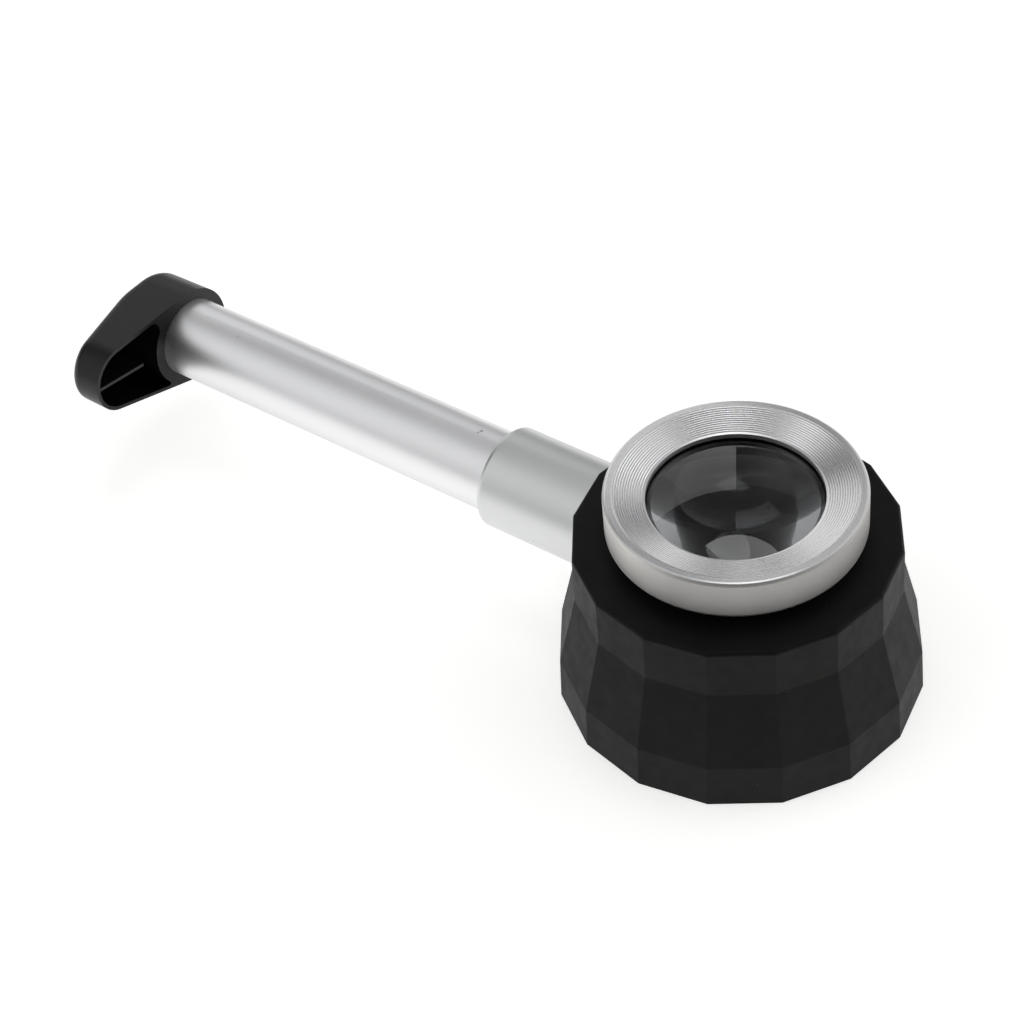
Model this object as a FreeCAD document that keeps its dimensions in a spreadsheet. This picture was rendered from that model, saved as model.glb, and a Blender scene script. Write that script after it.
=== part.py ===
import FreeCAD, Part
import Sketcher
import math
import os

# Illuminated stand magnifier with a battery handle.
# Frame: origin on the optical axis at the foot, +Z up through the lenses,
# the battery handle runs along -X and the lobe of its end cap points to -Y.

V = FreeCAD.Vector
doc = FreeCAD.newDocument("stand_magnifier")
sheet = doc.addObject("Spreadsheet::Sheet", "Dimensions")

DIMENSIONS = [
    # faceted head shell: circumradii and heights of the facet creases
    ("facet_count", 16), ("base_radius", 40.0), ("belt_radius", 39.51), ("belt_height", 10.74),
    ("shoulder_radius", 35.12), ("shoulder_height", 28.81), ("crown_radius", 34.95), ("head_height", 40.9),
    ("crease_fillet", 0.9), ("shell_bore", 31.5), ("roof_underside", 37.9), ("roof_hole", 24.3),
    ("collar_hole", 11.9),
    # inner housing
    ("foot_thickness", 3.0), ("aperture_radius", 25.5), ("wall_inner", 29.3), ("chamber_inner", 28.9),
    ("ledge_height", 29.8), ("deck_underside", 35.0), ("neck_bore", 21.3), ("neck_outer", 24.2),
    ("neck_top", 46.9), ("boss_radius", 9.9), ("boss_face", 33.4),
    ("foot_screw_circle", 28.4), ("foot_boss_radius", 2.4), ("foot_boss_height", 11.0),
    ("board_screw_circle", 25.6), ("standoff_radius", 2.0),
    # handle
    ("handle_height", 27.15), ("collar_radius", 11.855), ("collar_end", 61.1), ("collar_round", 1.4),
    ("bulkhead_end", 37.4), ("collar_bore", 9.6), ("tube_radius", 9.56), ("tube_bore", 8.6),
    ("tube_start", 40.0), ("tube_end", 165.3),
    ("wire_offset", 4.0), ("wire_hole", 1.6), ("wire_radius", 0.45), ("wire_pitch", 0.75),
    ("mount_screw_side", 5.6), ("mount_screw_drop", 5.6),
    ("battery_start", 43.0), ("battery_length", 50.5), ("battery_radius", 7.25), ("nub_radius", 2.75), ("nub_length", 1.0),
    # end cap
    ("cap_front", 156.15), ("cap_depth", 14.9), ("cap_boss", 12.2), ("cap_bore", 9.6), ("cap_bore_depth", 9.35),
    ("lobe_radius", 8.35), ("lobe_offset", 23.9), ("lobe_lift", 10.8), ("cap_wall", 0.9), ("lobe_depth", 8.6),
    ("cap_flat", 5.4), ("cap_bend", 2.45), ("cap_fall", 14.04), ("cap_draft", 0.8),
    ("floor_thickness", 1.8), ("web_round", 2.6), ("web_corner", 0.6), ("rib_width", 0.75), ("rib_gap", 4.6), ("cap_round", 3.2),
    # optics and focusing
    ("ring_bottom", 43.7), ("ring_outer", 27.4), ("ring_top", 53.37), ("ring_hole", 18.59), ("ring_dish", 51.53),
    ("ring_plate", 49.9), ("ring_thread", 24.3), ("groove_outer", 25.2), ("groove_pitch", 0.51),
    ("carrier_radius", 21.25), ("carrier_inner", 19.3), ("carrier_bottom", 34.0), ("carrier_shoulder", 46.0),
    ("sleeve_radius", 20.1), ("lens_radius", 19.25), ("lens_edge_low", 47.2), ("lens_edge_high", 49.7),
    ("upper_curve", 56.0), ("lower_curve", 45.0), ("field_edge_low", 38.0), ("field_edge_high", 40.0), ("field_curve", 90.0),
    ("pin_height", 41.0), ("pin_radius", 0.8), ("keyway_width", 1.7),
    # light
    ("board_bottom", 33.0), ("board_top", 34.2), ("board_inner", 23.2), ("board_outer", 28.7), ("led_circle", 26.0),
    ("window_bottom", 28.6),
]


class Q:
    """A size: its value and the sheet expression that gives it."""

    def __init__(self, val, txt):
        self.val, self.txt = float(val), txt

    @staticmethod
    def of(x):
        return x if isinstance(x, Q) else Q(x, repr(round(float(x), 6)))

    def _op(self, other, sign, val):
        return Q(val, "(" + self.txt + sign + other.txt + ")")

    def __add__(self, o): o = Q.of(o); return self._op(o, " + ", self.val + o.val)
    def __radd__(self, o): return Q.of(o) + self
    def __sub__(self, o): o = Q.of(o); return self._op(o, " - ", self.val - o.val)
    def __rsub__(self, o): return Q.of(o) - self
    def __mul__(self, o): o = Q.of(o); return self._op(o, " * ", self.val * o.val)
    def __rmul__(self, o): return Q.of(o) * self
    def __truediv__(self, o): o = Q.of(o); return self._op(o, " / ", self.val / o.val)
    def __neg__(self): return Q(0, "0") - self


D = {}
for row, (alias, value) in enumerate(DIMENSIONS, start=1):
    sheet.set("A%d" % row, alias)
    sheet.set("B%d" % row, str(value))
    sheet.setAlias("B%d" % row, alias)
    D[alias] = Q(value, "<<Dimensions>>." + alias)
doc.recompute()

parts = []


def body(label, along_handle=False, shift=None):
    b = doc.addObject("PartDesign::Body", "Body_" + label)
    b.Label = label
    parts.append(b)
    if along_handle:
        b.Placement = FreeCAD.Placement(V(0, 0, D["handle_height"].val), FreeCAD.Rotation())
        b.setExpression("Placement.Base.z", D["handle_height"].txt)
    if shift is not None:
        b.setExpression("Placement.Base.x", shift.txt)
    doc.recompute()
    return b


def plane(b, role):
    return [f for f in b.Origin.OriginFeatures if f.Role == role][0]


def sketch(b, role, name, offset=None, turn=None):
    s = b.newObject("Sketcher::SketchObject", name)
    s.AttachmentSupport = [(plane(b, role), "")]
    s.MapMode = "FlatFace"
    rot = FreeCAD.Rotation(V(0, 1, 0), turn) if turn is not None else FreeCAD.Rotation()
    off = Q.of(offset if offset is not None else 0)
    s.AttachmentOffset = FreeCAD.Placement(V(0, 0, off.val), rot)
    if offset is not None:
        s.setExpression("AttachmentOffset.Base.z", off.txt)
    return s


def pin_point(s, geo, pos, x, y):
    """Holds one point of a sketch at the sheet's x and y."""
    for kind, q, axis in (("DistanceX", x, -2), ("DistanceY", y, -1)):
        if abs(q.val) < 1e-9:
            s.addConstraint(Sketcher.Constraint("PointOnObject", geo, pos, axis))
        else:
            i = s.addConstraint(Sketcher.Constraint(kind, -1, 1, geo, pos, q.val))
            s.setExpression("Constraints[%d]" % i, q.txt)


def polygon(s, pts):
    """A closed outline of straight lines through points of the sheet."""
    pts = [(Q.of(x), Q.of(y)) for x, y in pts]
    first = s.GeometryCount
    n = len(pts)
    for i in range(n):
        a, c = pts[i], pts[(i + 1) % n]
        s.addGeometry(Part.LineSegment(V(a[0].val, a[1].val, 0), V(c[0].val, c[1].val, 0)), False)
    for i in range(n):
        s.addConstraint(Sketcher.Constraint("Coincident", first + i, 2, first + (i + 1) % n, 1))
    for i in range(n):
        pin_point(s, first + i, 1, pts[i][0], pts[i][1])
    return s


def circle(s, x, y, r):
    x, y, r = Q.of(x), Q.of(y), Q.of(r)
    g = s.addGeometry(Part.Circle(V(x.val, y.val, 0), V(0, 0, 1), r.val), False)
    pin_point(s, g, 3, x, y)
    i = s.addConstraint(Sketcher.Constraint("Radius", g, r.val))
    s.setExpression("Constraints[%d]" % i, r.txt)
    return s


def finish(b, f, less=None, least=0.0):
    """Recomputes and makes sure that a cut takes material away, and a pad adds it."""
    before = less
    doc.recompute()
    b.Tip = f
    doc.recompute()
    if before is not None:
        change = before - f.Shape.Volume
        if change <= least:
            raise RuntimeError("%s: %s changed the volume by %.3f" % (b.Label, f.Name, -change))
    return f


def revolve(b, s, name, axis="V_Axis"):
    f = b.newObject("PartDesign::Revolution", name)
    f.Profile = s
    f.ReferenceAxis = (s, [axis])
    f.Angle = 360
    s.Visibility = False
    return finish(b, f)


def groove(b, s, name, axis="V_Axis"):
    before = b.Shape.Volume
    f = b.newObject("PartDesign::Groove", name)
    f.Profile = s
    f.ReferenceAxis = (s, [axis])
    f.Angle = 360
    return finish(b, f, before)


def pad(b, s, length, name, back=False, middle=False):
    f = b.newObject("PartDesign::Pad", name)
    f.Profile = s
    length = Q.of(length)
    f.Length = length.val
    f.setExpression("Length", length.txt)
    f.Reversed = back
    f.Midplane = middle
    return finish(b, f)


def pocket(b, s, length, name, back=False, middle=False, through=False):
    before = b.Shape.Volume
    f = b.newObject("PartDesign::Pocket", name)
    f.Profile = s
    if through:
        f.Type = "ThroughAll"
    else:
        length = Q.of(length)
        f.Length = length.val
        f.setExpression("Length", length.txt)
    f.Reversed = back
    f.Midplane = middle
    return finish(b, f, before)


def polar(b, f, name, count):
    p = b.newObject("PartDesign::PolarPattern", name)
    p.Originals = [f]
    p.Axis = (plane(b, "Z_Axis"), [""])
    p.Angle = 360
    p.Occurrences = int(Q.of(count).val)
    if isinstance(count, Q):
        p.setExpression("Occurrences", count.txt)
    return finish(b, p)


def fillet(b, f, radius, name, choose):
    names = ["Edge%d" % (i + 1) for i, e in enumerate(f.Shape.Edges) if choose(e)]
    if not names:
        raise RuntimeError("%s: no edge was chosen for %s" % (b.Label, name))
    d = b.newObject("PartDesign::Fillet", name)
    d.Base = (f, names)
    radius = Q.of(radius)
    d.Radius = radius.val
    d.setExpression("Radius", radius.txt)
    return finish(b, d)


def chamfer(b, f, size, name, choose):
    names = ["Edge%d" % (i + 1) for i, e in enumerate(f.Shape.Edges) if choose(e)]
    if not names:
        raise RuntimeError("%s: no edge was chosen for %s" % (b.Label, name))
    d = b.newObject("PartDesign::Chamfer", name)
    d.Base = (f, names)
    size = Q.of(size)
    d.Size = size.val
    d.setExpression("Size", size.txt)
    return finish(b, d)


def ends(e):
    return [v.Point for v in e.Vertexes]


def at(e, **want):
    """True if every end of the edge is at the wanted x, y or z, and r for distance from the Z axis."""
    for p in ends(e):
        got = {"x": p.x, "y": p.y, "z": p.z, "r": math.hypot(p.x, p.y), "a": math.hypot(p.y, p.z)}
        if any(abs(got[k] - w) > 0.02 for k, w in want.items()):
            return False
    return True


# ---------------------------------------------------------------- head shell
# A sixteen-sided rubber cup, open below, with three tiers of flat facets and a
# corner on the handle's axis. A round bore takes the inner housing and a round
# hole in the side takes the handle's collar.
half = 180.0 / 16
apothem = math.cos(math.radians(half))
b = body("head_shell")
s = sketch(b, "XY_Plane", "ShellOutline")
ring = s.addGeometry(Part.Circle(V(0, 0, 0), V(0, 0, 1), D["base_radius"].val), True)
s.addConstraint(Sketcher.Constraint("Coincident", ring, 3, -1, 1))
k = s.addConstraint(Sketcher.Constraint("Radius", ring, D["base_radius"].val))
s.setExpression("Constraints[%d]" % k, D["base_radius"].txt)
corner = [V(D["base_radius"].val * math.cos(i * math.pi / 8), D["base_radius"].val * math.sin(i * math.pi / 8), 0) for i in range(16)]
first = s.GeometryCount
for i in range(16):
    s.addGeometry(Part.LineSegment(corner[i], corner[(i + 1) % 16]), False)
for i in range(16):
    s.addConstraint(Sketcher.Constraint("Coincident", first + i, 2, first + (i + 1) % 16, 1))
    if i:
        s.addConstraint(Sketcher.Constraint("Equal", first, first + i))
    s.addConstraint(Sketcher.Constraint("PointOnObject", first + i, 1, ring))
s.addConstraint(Sketcher.Constraint("PointOnObject", first, 1, -1))
prism = pad(b, s, D["head_height"], "ShellPrism")
s = sketch(b, "XZ_Plane", "FacetWedge", turn=half)
polygon(s, [
    (D["base_radius"] * apothem, 0), (D["belt_radius"] * apothem, D["belt_height"]),
    (D["shoulder_radius"] * apothem, D["shoulder_height"]), (D["crown_radius"] * apothem, D["head_height"]),
    (D["crown_radius"] * apothem, D["head_height"] + 2), (D["base_radius"] + 6, D["head_height"] + 2), (D["base_radius"] + 6, 0),
])
wedge = pocket(b, s, 60, "FacetCut", middle=True)
facets = polar(b, wedge, "Facets", D["facet_count"])
soft = fillet(b, facets, D["crease_fillet"], "SoftCreases", lambda e: all(p.z > 0.01 or q.z > 0.01 for p, q in [(ends(e)[0], ends(e)[-1])]) and max(math.hypot(p.x, p.y) for p in ends(e)) > 30)
s = sketch(b, "XZ_Plane", "ShellBoreProfile")
polygon(s, [(0, -1), (D["shell_bore"], -1), (D["shell_bore"], D["roof_underside"]), (D["roof_hole"], D["roof_underside"]),
            (D["roof_hole"], D["head_height"] + 1), (0, D["head_height"] + 1)])
groove(b, s, "ShellBore")
s = sketch(b, "YZ_Plane", "CollarHoleSketch", offset=Q.of(-28))
circle(s, 0, D["handle_height"], D["collar_hole"])
pocket(b, s, 20, "CollarHole")

# ---------------------------------------------------------------- inner housing
# The round moulded frame inside the shell: side wall, deck and focusing neck,
# with a flat boss where the handle's collar seats.
b = body("inner_housing")
s = sketch(b, "XZ_Plane", "HousingOutside")
polygon(s, [(0, D["foot_thickness"]), (D["shell_bore"], D["foot_thickness"]), (D["shell_bore"], D["roof_underside"]),
            (D["neck_outer"], D["roof_underside"]), (D["neck_outer"], D["neck_top"]), (0, D["neck_top"])])
revolve(b, s, "HousingBlank")
s = sketch(b, "YZ_Plane", "HandleBossSketch", offset=Q.of(-27))
circle(s, 0, D["handle_height"], D["boss_radius"])
pad(b, s, D["boss_face"] - 27, "HandleBoss", back=True)
s = sketch(b, "XZ_Plane", "HousingInside")
polygon(s, [(0, 2), (D["wall_inner"], 2), (D["wall_inner"], D["ledge_height"]), (D["chamber_inner"], D["ledge_height"]),
            (D["chamber_inner"], D["deck_underside"]), (D["neck_bore"], D["deck_underside"]), (D["neck_bore"], D["neck_top"] + 1), (0, D["neck_top"] + 1)])
groove(b, s, "HousingCavity")
s = sketch(b, "XY_Plane", "FootBosses", offset=D["foot_thickness"])
for a in (60, 180, 300):
    circle(s, D["foot_screw_circle"] * math.cos(math.radians(a)), D["foot_screw_circle"] * math.sin(math.radians(a)) if a != 180 else 0, D["foot_boss_radius"])
pad(b, s, D["foot_boss_height"] - D["foot_thickness"], "FootBossPads")
s = sketch(b, "XY_Plane", "Standoffs", offset=D["board_top"])
for a in (0, 120, 240):
    circle(s, D["board_screw_circle"] * math.cos(math.radians(a)), D["board_screw_circle"] * math.sin(math.radians(a)) if a else 0, D["standoff_radius"])
pad(b, s, D["deck_underside"] - D["board_top"], "StandoffPads")
s = sketch(b, "XY_Plane", "FootPilots", offset=D["foot_thickness"])
for a in (60, 180, 300):
    circle(s, D["foot_screw_circle"] * math.cos(math.radians(a)), D["foot_screw_circle"] * math.sin(math.radians(a)) if a != 180 else 0, 0.9)
pocket(b, s, 6.5, "FootPilotHoles", back=True)
s = sketch(b, "XY_Plane", "BoardPilots", offset=D["board_top"])
for a in (0, 120, 240):
    circle(s, D["board_screw_circle"] * math.cos(math.radians(a)), D["board_screw_circle"] * math.sin(math.radians(a)) if a else 0, 0.75)
pocket(b, s, 2.6, "BoardPilotHoles", back=True)
s = sketch(b, "YZ_Plane", "HandleScrewHoles", offset=Q.of(-20))
circle(s, D["mount_screw_side"], D["handle_height"] - D["mount_screw_drop"], 1.3)
circle(s, -D["mount_screw_side"], D["handle_height"] - D["mount_screw_drop"], 1.3)
circle(s, 0, D["handle_height"] + D["wire_offset"], D["wire_hole"])
pocket(b, s, 20, "HandleHoles")
s = sketch(b, "YZ_Plane", "ScrewSeats", offset=Q.of(-20))
circle(s, D["mount_screw_side"], D["handle_height"] - D["mount_screw_drop"], 2.2)
circle(s, -D["mount_screw_side"], D["handle_height"] - D["mount_screw_drop"], 2.2)
pocket(b, s, 9.9, "ScrewSeatCuts")
s = sketch(b, "XZ_Plane", "PinHoleSketch", offset=Q.of(-20))
circle(s, 0, D["pin_height"], D["pin_radius"])
pocket(b, s, 8, "PinHole", back=False)

# ---------------------------------------------------------------- foot ring
# Closes the shell below and leaves the round viewing aperture.
b = body("foot_ring")
s = sketch(b, "XZ_Plane", "FootProfile")
polygon(s, [(D["aperture_radius"] + 0.8, 0.4), (D["shell_bore"] - 0.4, 0.4), (D["shell_bore"], 0.8), (D["shell_bore"], D["foot_thickness"]),
            (D["aperture_radius"], D["foot_thickness"]), (D["aperture_radius"], 1.2)])
revolve(b, s, "FootBlank")
s = sketch(b, "XY_Plane", "FootHoles", offset=Q.of(-1))
for a in (60, 180, 300):
    circle(s, D["foot_screw_circle"] * math.cos(math.radians(a)), D["foot_screw_circle"] * math.sin(math.radians(a)) if a != 180 else 0, 1.1)
pocket(b, s, 8, "FootScrewHoles", back=True)
s = sketch(b, "XY_Plane", "FootHeadSeats", offset=Q.of(-1))
for a in (60, 180, 300):
    circle(s, D["foot_screw_circle"] * math.cos(math.radians(a)), D["foot_screw_circle"] * math.sin(math.radians(a)) if a != 180 else 0, 2.0)
pocket(b, s, 2.9, "FootHeadSeatCuts", back=True)


def screw_group(label, places, head_r, head_t, shank_r, length, drive_r, drive_t, turn=None):
    """A set of alike pan-head screws in one node; the head's underside is at each place and the shank runs along its direction."""
    shapes = []
    for p, d in places:
        hs = Part.makeCylinder(head_r, head_t, V(0, 0, -head_t), V(0, 0, 1))
        rim = [e for e in hs.Edges if all(abs(q.Point.z + head_t) < 1e-6 for q in e.Vertexes)]
        hs = hs.makeFillet(min(0.35, head_t * 0.4), rim)
        sh = Part.makeCylinder(shank_r, length, V(0, 0, 0), V(0, 0, 1))
        tip = [e for e in sh.Edges if all(abs(q.Point.z - length) < 1e-6 for q in e.Vertexes)]
        sh = sh.makeChamfer(shank_r * 0.4, tip)
        one = hs.fuse(sh).removeSplitter()
        slot_a = Part.makeBox(drive_r * 2, drive_r * 0.5, drive_t, V(-drive_r, -drive_r * 0.25, -head_t))
        slot_b = Part.makeBox(drive_r * 0.5, drive_r * 2, drive_t, V(-drive_r * 0.25, -drive_r, -head_t))
        one = one.cut(slot_a).cut(slot_b)
        pl = FreeCAD.Placement(V(*p), FreeCAD.Rotation(V(0, 0, 1), V(*d)))
        one = one.transformed(pl.toMatrix(), True)
        shapes.append(one)
    f = doc.addObject("Part::Feature", "Shape_" + label)
    f.Label = label
    f.Shape = Part.Compound(shapes)
    f.Placement = FreeCAD.Placement()
    parts.append(f)
    return f


def size(name):
    """A size read back from the sheet."""
    return float(sheet.get(name))


# cross-head screws that hold the foot ring, the light's board and the collar
fc = size("foot_screw_circle")
screw_group("foot_screws", [((fc * math.cos(math.radians(a)), fc * math.sin(math.radians(a)), 1.9), (0, 0, 1)) for a in (60, 180, 300)],
            1.9, 1.2, 0.9, 7.2, 1.0, 0.6)
bc = size("board_screw_circle")
screw_group("board_screws", [((bc * math.cos(math.radians(a)), bc * math.sin(math.radians(a)), size("board_bottom")), (0, 0, 1)) for a in (0, 120, 240)],
            1.5, 1.0, 0.75, 3.6, 0.8, 0.5)
ms, md, hh = size("mount_screw_side"), size("mount_screw_drop"), size("handle_height")
screw_group("collar_mount_screws", [((-29.9, y, hh - md), (-1, 0, 0)) for y in (ms, -ms)], 2.1, 1.25, 1.2, 7.0, 1.1, 0.6)

# ---------------------------------------------------------------- light
# Ring-shaped circuit board under the deck with its lamps facing down, the small
# parts beside them, and the frosted window that closes the light chamber.
b = body("light_board")
s = sketch(b, "XY_Plane", "BoardOutline", offset=D["board_bottom"])
circle(s, 0, 0, D["board_outer"])
circle(s, 0, 0, D["board_inner"])
for a in (0, 120, 240):
    circle(s, D["board_screw_circle"] * math.cos(math.radians(a)), D["board_screw_circle"] * math.sin(math.radians(a)) if a else 0, 0.9)
pad(b, s, D["board_top"] - D["board_bottom"], "BoardPad")

lamps, chips = [], []
lc, bb = size("led_circle"), size("board_bottom")
for a in (30, 90, 150, 210, 270, 330):
    box = Part.makeBox(2.8, 3.5, 1.0, V(lc - 1.4, -1.75, bb - 1.0))
    dome = Part.makeCone(1.2, 0.9, 0.5, V(lc, 0, bb - 1.0), V(0, 0, -1))
    lamps.append(box.fuse(dome).removeSplitter().rotated(V(0, 0, 0), V(0, 0, 1), a))
for a in (52, 68, 232, 308):
    chips.append(Part.makeBox(1.6, 0.8, 0.5, V(lc - 0.8, -0.4, bb - 0.5)).rotated(V(0, 0, 0), V(0, 0, 1), a))
for label, shapes in (("light_emitters", lamps), ("board_resistors", chips)):
    f = doc.addObject("Part::Feature", "Shape_" + label)
    f.Label = label
    f.Shape = Part.Compound(shapes)
    f.Placement = FreeCAD.Placement()
    parts.append(f)

b = body("light_window")
s = sketch(b, "XZ_Plane", "WindowProfile")
polygon(s, [(21.9, D["window_bottom"]), (D["wall_inner"], D["window_bottom"]), (D["wall_inner"], D["ledge_height"]),
            (22.9, D["ledge_height"]), (22.9, D["deck_underside"] - 0.6), (21.9, D["deck_underside"] - 0.6)])
revolve(b, s, "WindowRing")

# ---------------------------------------------------------------- guide pin
# Keys the lens carrier to the neck so that the lenses rise without turning.
b = body("guide_pin")
s = sketch(b, "XZ_Plane", "PinCircle", offset=Q.of(-20.15))
circle(s, 0, D["pin_height"], D["pin_radius"])
f = pad(b, s, D["neck_outer"] - 20.15 - 0.05, "Pin", back=True)
chamfer(b, f, 0.2, "PinTip", lambda e: at(e, y=20.15))

# ---------------------------------------------------------------- lens carrier
b = body("lens_carrier")
lip = D["lens_edge_high"] + 0.25
s = sketch(b, "XZ_Plane", "CarrierProfile")
polygon(s, [
    (D["carrier_inner"], D["carrier_bottom"] + 0.5), (D["carrier_inner"] + 0.5, D["carrier_bottom"]), (D["carrier_radius"] - 0.4, D["carrier_bottom"]),
    (D["carrier_radius"], D["carrier_bottom"] + 0.4), (D["carrier_radius"], 35.2), (20.05, 35.2), (20.05, 36.8), (D["carrier_radius"], 36.8),
    (D["carrier_radius"], D["carrier_shoulder"]), (D["sleeve_radius"], D["carrier_shoulder"]), (D["sleeve_radius"], 48.5), (19.7, 48.5), (19.7, 49.15),
    (D["sleeve_radius"], 49.15), (D["sleeve_radius"], lip + 0.3), (18.75, lip + 0.3), (18.75, lip), (D["carrier_inner"], lip),
])
revolve(b, s, "CarrierTube")
s = sketch(b, "XZ_Plane", "KeywaySketch", offset=Q.of(-20))
hw = D["keyway_width"] / 2
polygon(s, [(-hw, D["pin_height"] - 2.1), (hw, D["pin_height"] - 2.1), (hw, D["pin_height"] + 3.7), (-hw, D["pin_height"] + 3.7)])
pocket(b, s, 4, "Keyway")

b = body("friction_ring")
s = sketch(b, "XZ_Plane", "FrictionSection")
circle(s, 20.67, 36.0, 0.61)
revolve(b, s, "FrictionTorus")

# lens held between the carrier's lip and the spacer
def lens(label, low, high, curve_up, curve_down):
    b = body(label)
    s = sketch(b, "XZ_Plane", label + "_section")
    r = D["lens_radius"]
    g_edge = s.addGeometry(Part.LineSegment(V(r.val, low.val, 0), V(r.val, high.val, 0)), False)
    su = curve_up.val - math.sqrt(curve_up.val ** 2 - r.val ** 2)
    top = high.val + su
    cu = top - curve_up.val
    a0 = math.atan2(high.val - cu, r.val)
    g_up = s.addGeometry(Part.ArcOfCircle(Part.Circle(V(0, cu, 0), V(0, 0, 1), curve_up.val), a0, math.pi / 2), False)
    if curve_down is not None:
        sd = curve_down.val - math.sqrt(curve_down.val ** 2 - r.val ** 2)
        bottom = low.val - sd
        cd = bottom + curve_down.val
        a1 = math.atan2(low.val - cd, r.val)
        g_down = s.addGeometry(Part.ArcOfCircle(Part.Circle(V(0, cd, 0), V(0, 0, 1), curve_down.val), -math.pi / 2, a1), False)
        low_start, low_end = (g_down, 1), (g_down, 2)
    else:
        bottom = low.val
        g_down = s.addGeometry(Part.LineSegment(V(0, bottom, 0), V(r.val, low.val, 0)), False)
        low_start, low_end = (g_down, 1), (g_down, 2)
    g_axis = s.addGeometry(Part.LineSegment(V(0, top, 0), V(0, bottom, 0)), False)
    s.addConstraint(Sketcher.Constraint("Coincident", g_edge, 2, g_up, 1))
    s.addConstraint(Sketcher.Constraint("Coincident", g_up, 2, g_axis, 1))
    s.addConstraint(Sketcher.Constraint("Coincident", g_axis, 2, *low_start))
    s.addConstraint(Sketcher.Constraint("Coincident", low_end[0], low_end[1], g_edge, 1))
    pin_point(s, g_edge, 1, r, low)
    pin_point(s, g_edge, 2, r, high)
    s.addConstraint(Sketcher.Constraint("PointOnObject", g_axis, 1, -2))
    s.addConstraint(Sketcher.Constraint("PointOnObject", g_axis, 2, -2))
    s.addConstraint(Sketcher.Constraint("PointOnObject", g_up, 3, -2))
    k = s.addConstraint(Sketcher.Constraint("Radius", g_up, curve_up.val))
    s.setExpression("Constraints[%d]" % k, curve_up.txt)
    if curve_down is not None:
        s.addConstraint(Sketcher.Constraint("PointOnObject", g_down, 3, -2))
        k = s.addConstraint(Sketcher.Constraint("Radius", g_down, curve_down.val))
        s.setExpression("Constraints[%d]" % k, curve_down.txt)
    else:
        s.addConstraint(Sketcher.Constraint("Horizontal", g_down))
    revolve(b, s, label + "_solid")
    return b


lens("eye_lens", D["lens_edge_low"], D["lens_edge_high"], D["upper_curve"], D["lower_curve"])
lens("field_lens", D["field_edge_low"], D["field_edge_high"], D["field_curve"], None)

b = body("lens_spacer")
s = sketch(b, "XZ_Plane", "SpacerProfile")
polygon(s, [(18.2, D["field_edge_high"] + 0.4), (D["lens_radius"], D["field_edge_high"]),
            (D["lens_radius"], D["lens_edge_low"]), (18.2, D["lens_edge_low"] - 0.65)])
revolve(b, s, "SpacerTube")

b = body("lens_lock_ring")
s = sketch(b, "XZ_Plane", "LockRingProfile")
polygon(s, [(17.2, D["field_edge_low"] - 1.4), (17.9, D["field_edge_low"] - 2.4), (D["lens_radius"], D["field_edge_low"] - 2.4),
            (D["lens_radius"], D["field_edge_low"]), (17.2, D["field_edge_low"])])
revolve(b, s, "LockRingBlank")
s = sketch(b, "XY_Plane", "SpannerSlots", offset=D["field_edge_low"] - 2.4)
polygon(s, [(-20, -0.7), (20, -0.7), (20, 0.7), (-20, 0.7)])
pocket(b, s, 0.9, "SpannerSlotCuts", back=True)

# spring clip that holds the focusing ring down on the carrier
b = body("ring_clip")
s = sketch(b, "XZ_Plane", "ClipProfile")
polygon(s, [(19.75, 48.53), (20.75, 48.53), (20.75, 49.12), (19.75, 49.12)])
revolve(b, s, "ClipHoop")
s = sketch(b, "XY_Plane", "ClipGapSketch", offset=Q.of(48))
polygon(s, [(18, -1.6), (22, -1.6), (22, 1.6), (18, 1.6)])
pocket(b, s, 2, "ClipGap", back=True)

# ---------------------------------------------------------------- focusing ring
# Machined aluminium bezel: a dished face cut with concentric grooves, a plain
# rim, and a threaded skirt that turns on the housing's neck.
b = body("focus_ring")
s = sketch(b, "XZ_Plane", "RingProfile")
top, ro, rh = D["ring_top"], D["ring_outer"], D["ring_hole"]
go = D["groove_outer"]
slope = (D["ring_dish"] - (top - 0.12)) / (rh + 0.35 - go)
pts = [
    (D["ring_thread"], D["ring_bottom"] + 0.3), (D["ring_thread"] + 0.3, D["ring_bottom"]), (ro - 1.0, D["ring_bottom"]), (ro - 0.35, D["ring_bottom"] + 0.3), (ro, D["ring_bottom"] + 1.0),
    (ro, top - 0.75), (ro - 0.15, top - 0.4), (ro - 0.4, top - 0.12), (ro - 0.75, top), (go + 0.35, top), (go + 0.12, top - 0.12), (go, top - 0.12),
]
r_now = go
pitch = D["groove_pitch"]
for i in range(12):
    r_now = r_now - pitch * 0.30
    pts.append((r_now, top - 0.12 + slope * (r_now - go)))
    r_now = r_now - pitch * 0.35
    pts.append((r_now, top - 0.12 + slope * (r_now - go) - 0.15))
    r_now = r_now - pitch * 0.35
    pts.append((r_now, top - 0.12 + slope * (r_now - go)))
pts += [
    (rh + 0.3, top - 0.12 + slope * (rh + 0.3 - go)), (rh, D["ring_dish"] - 0.1), (rh, 50.35), (20.9, 50.35), (20.9, 48.45), (20.2, 48.45), (20.2, 46.05),
    (21.2, 46.05), (21.2, D["ring_plate"]), (D["ring_thread"], D["ring_plate"]),
]
polygon(s, pts)
revolve(b, s, "RingBlank")

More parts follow.
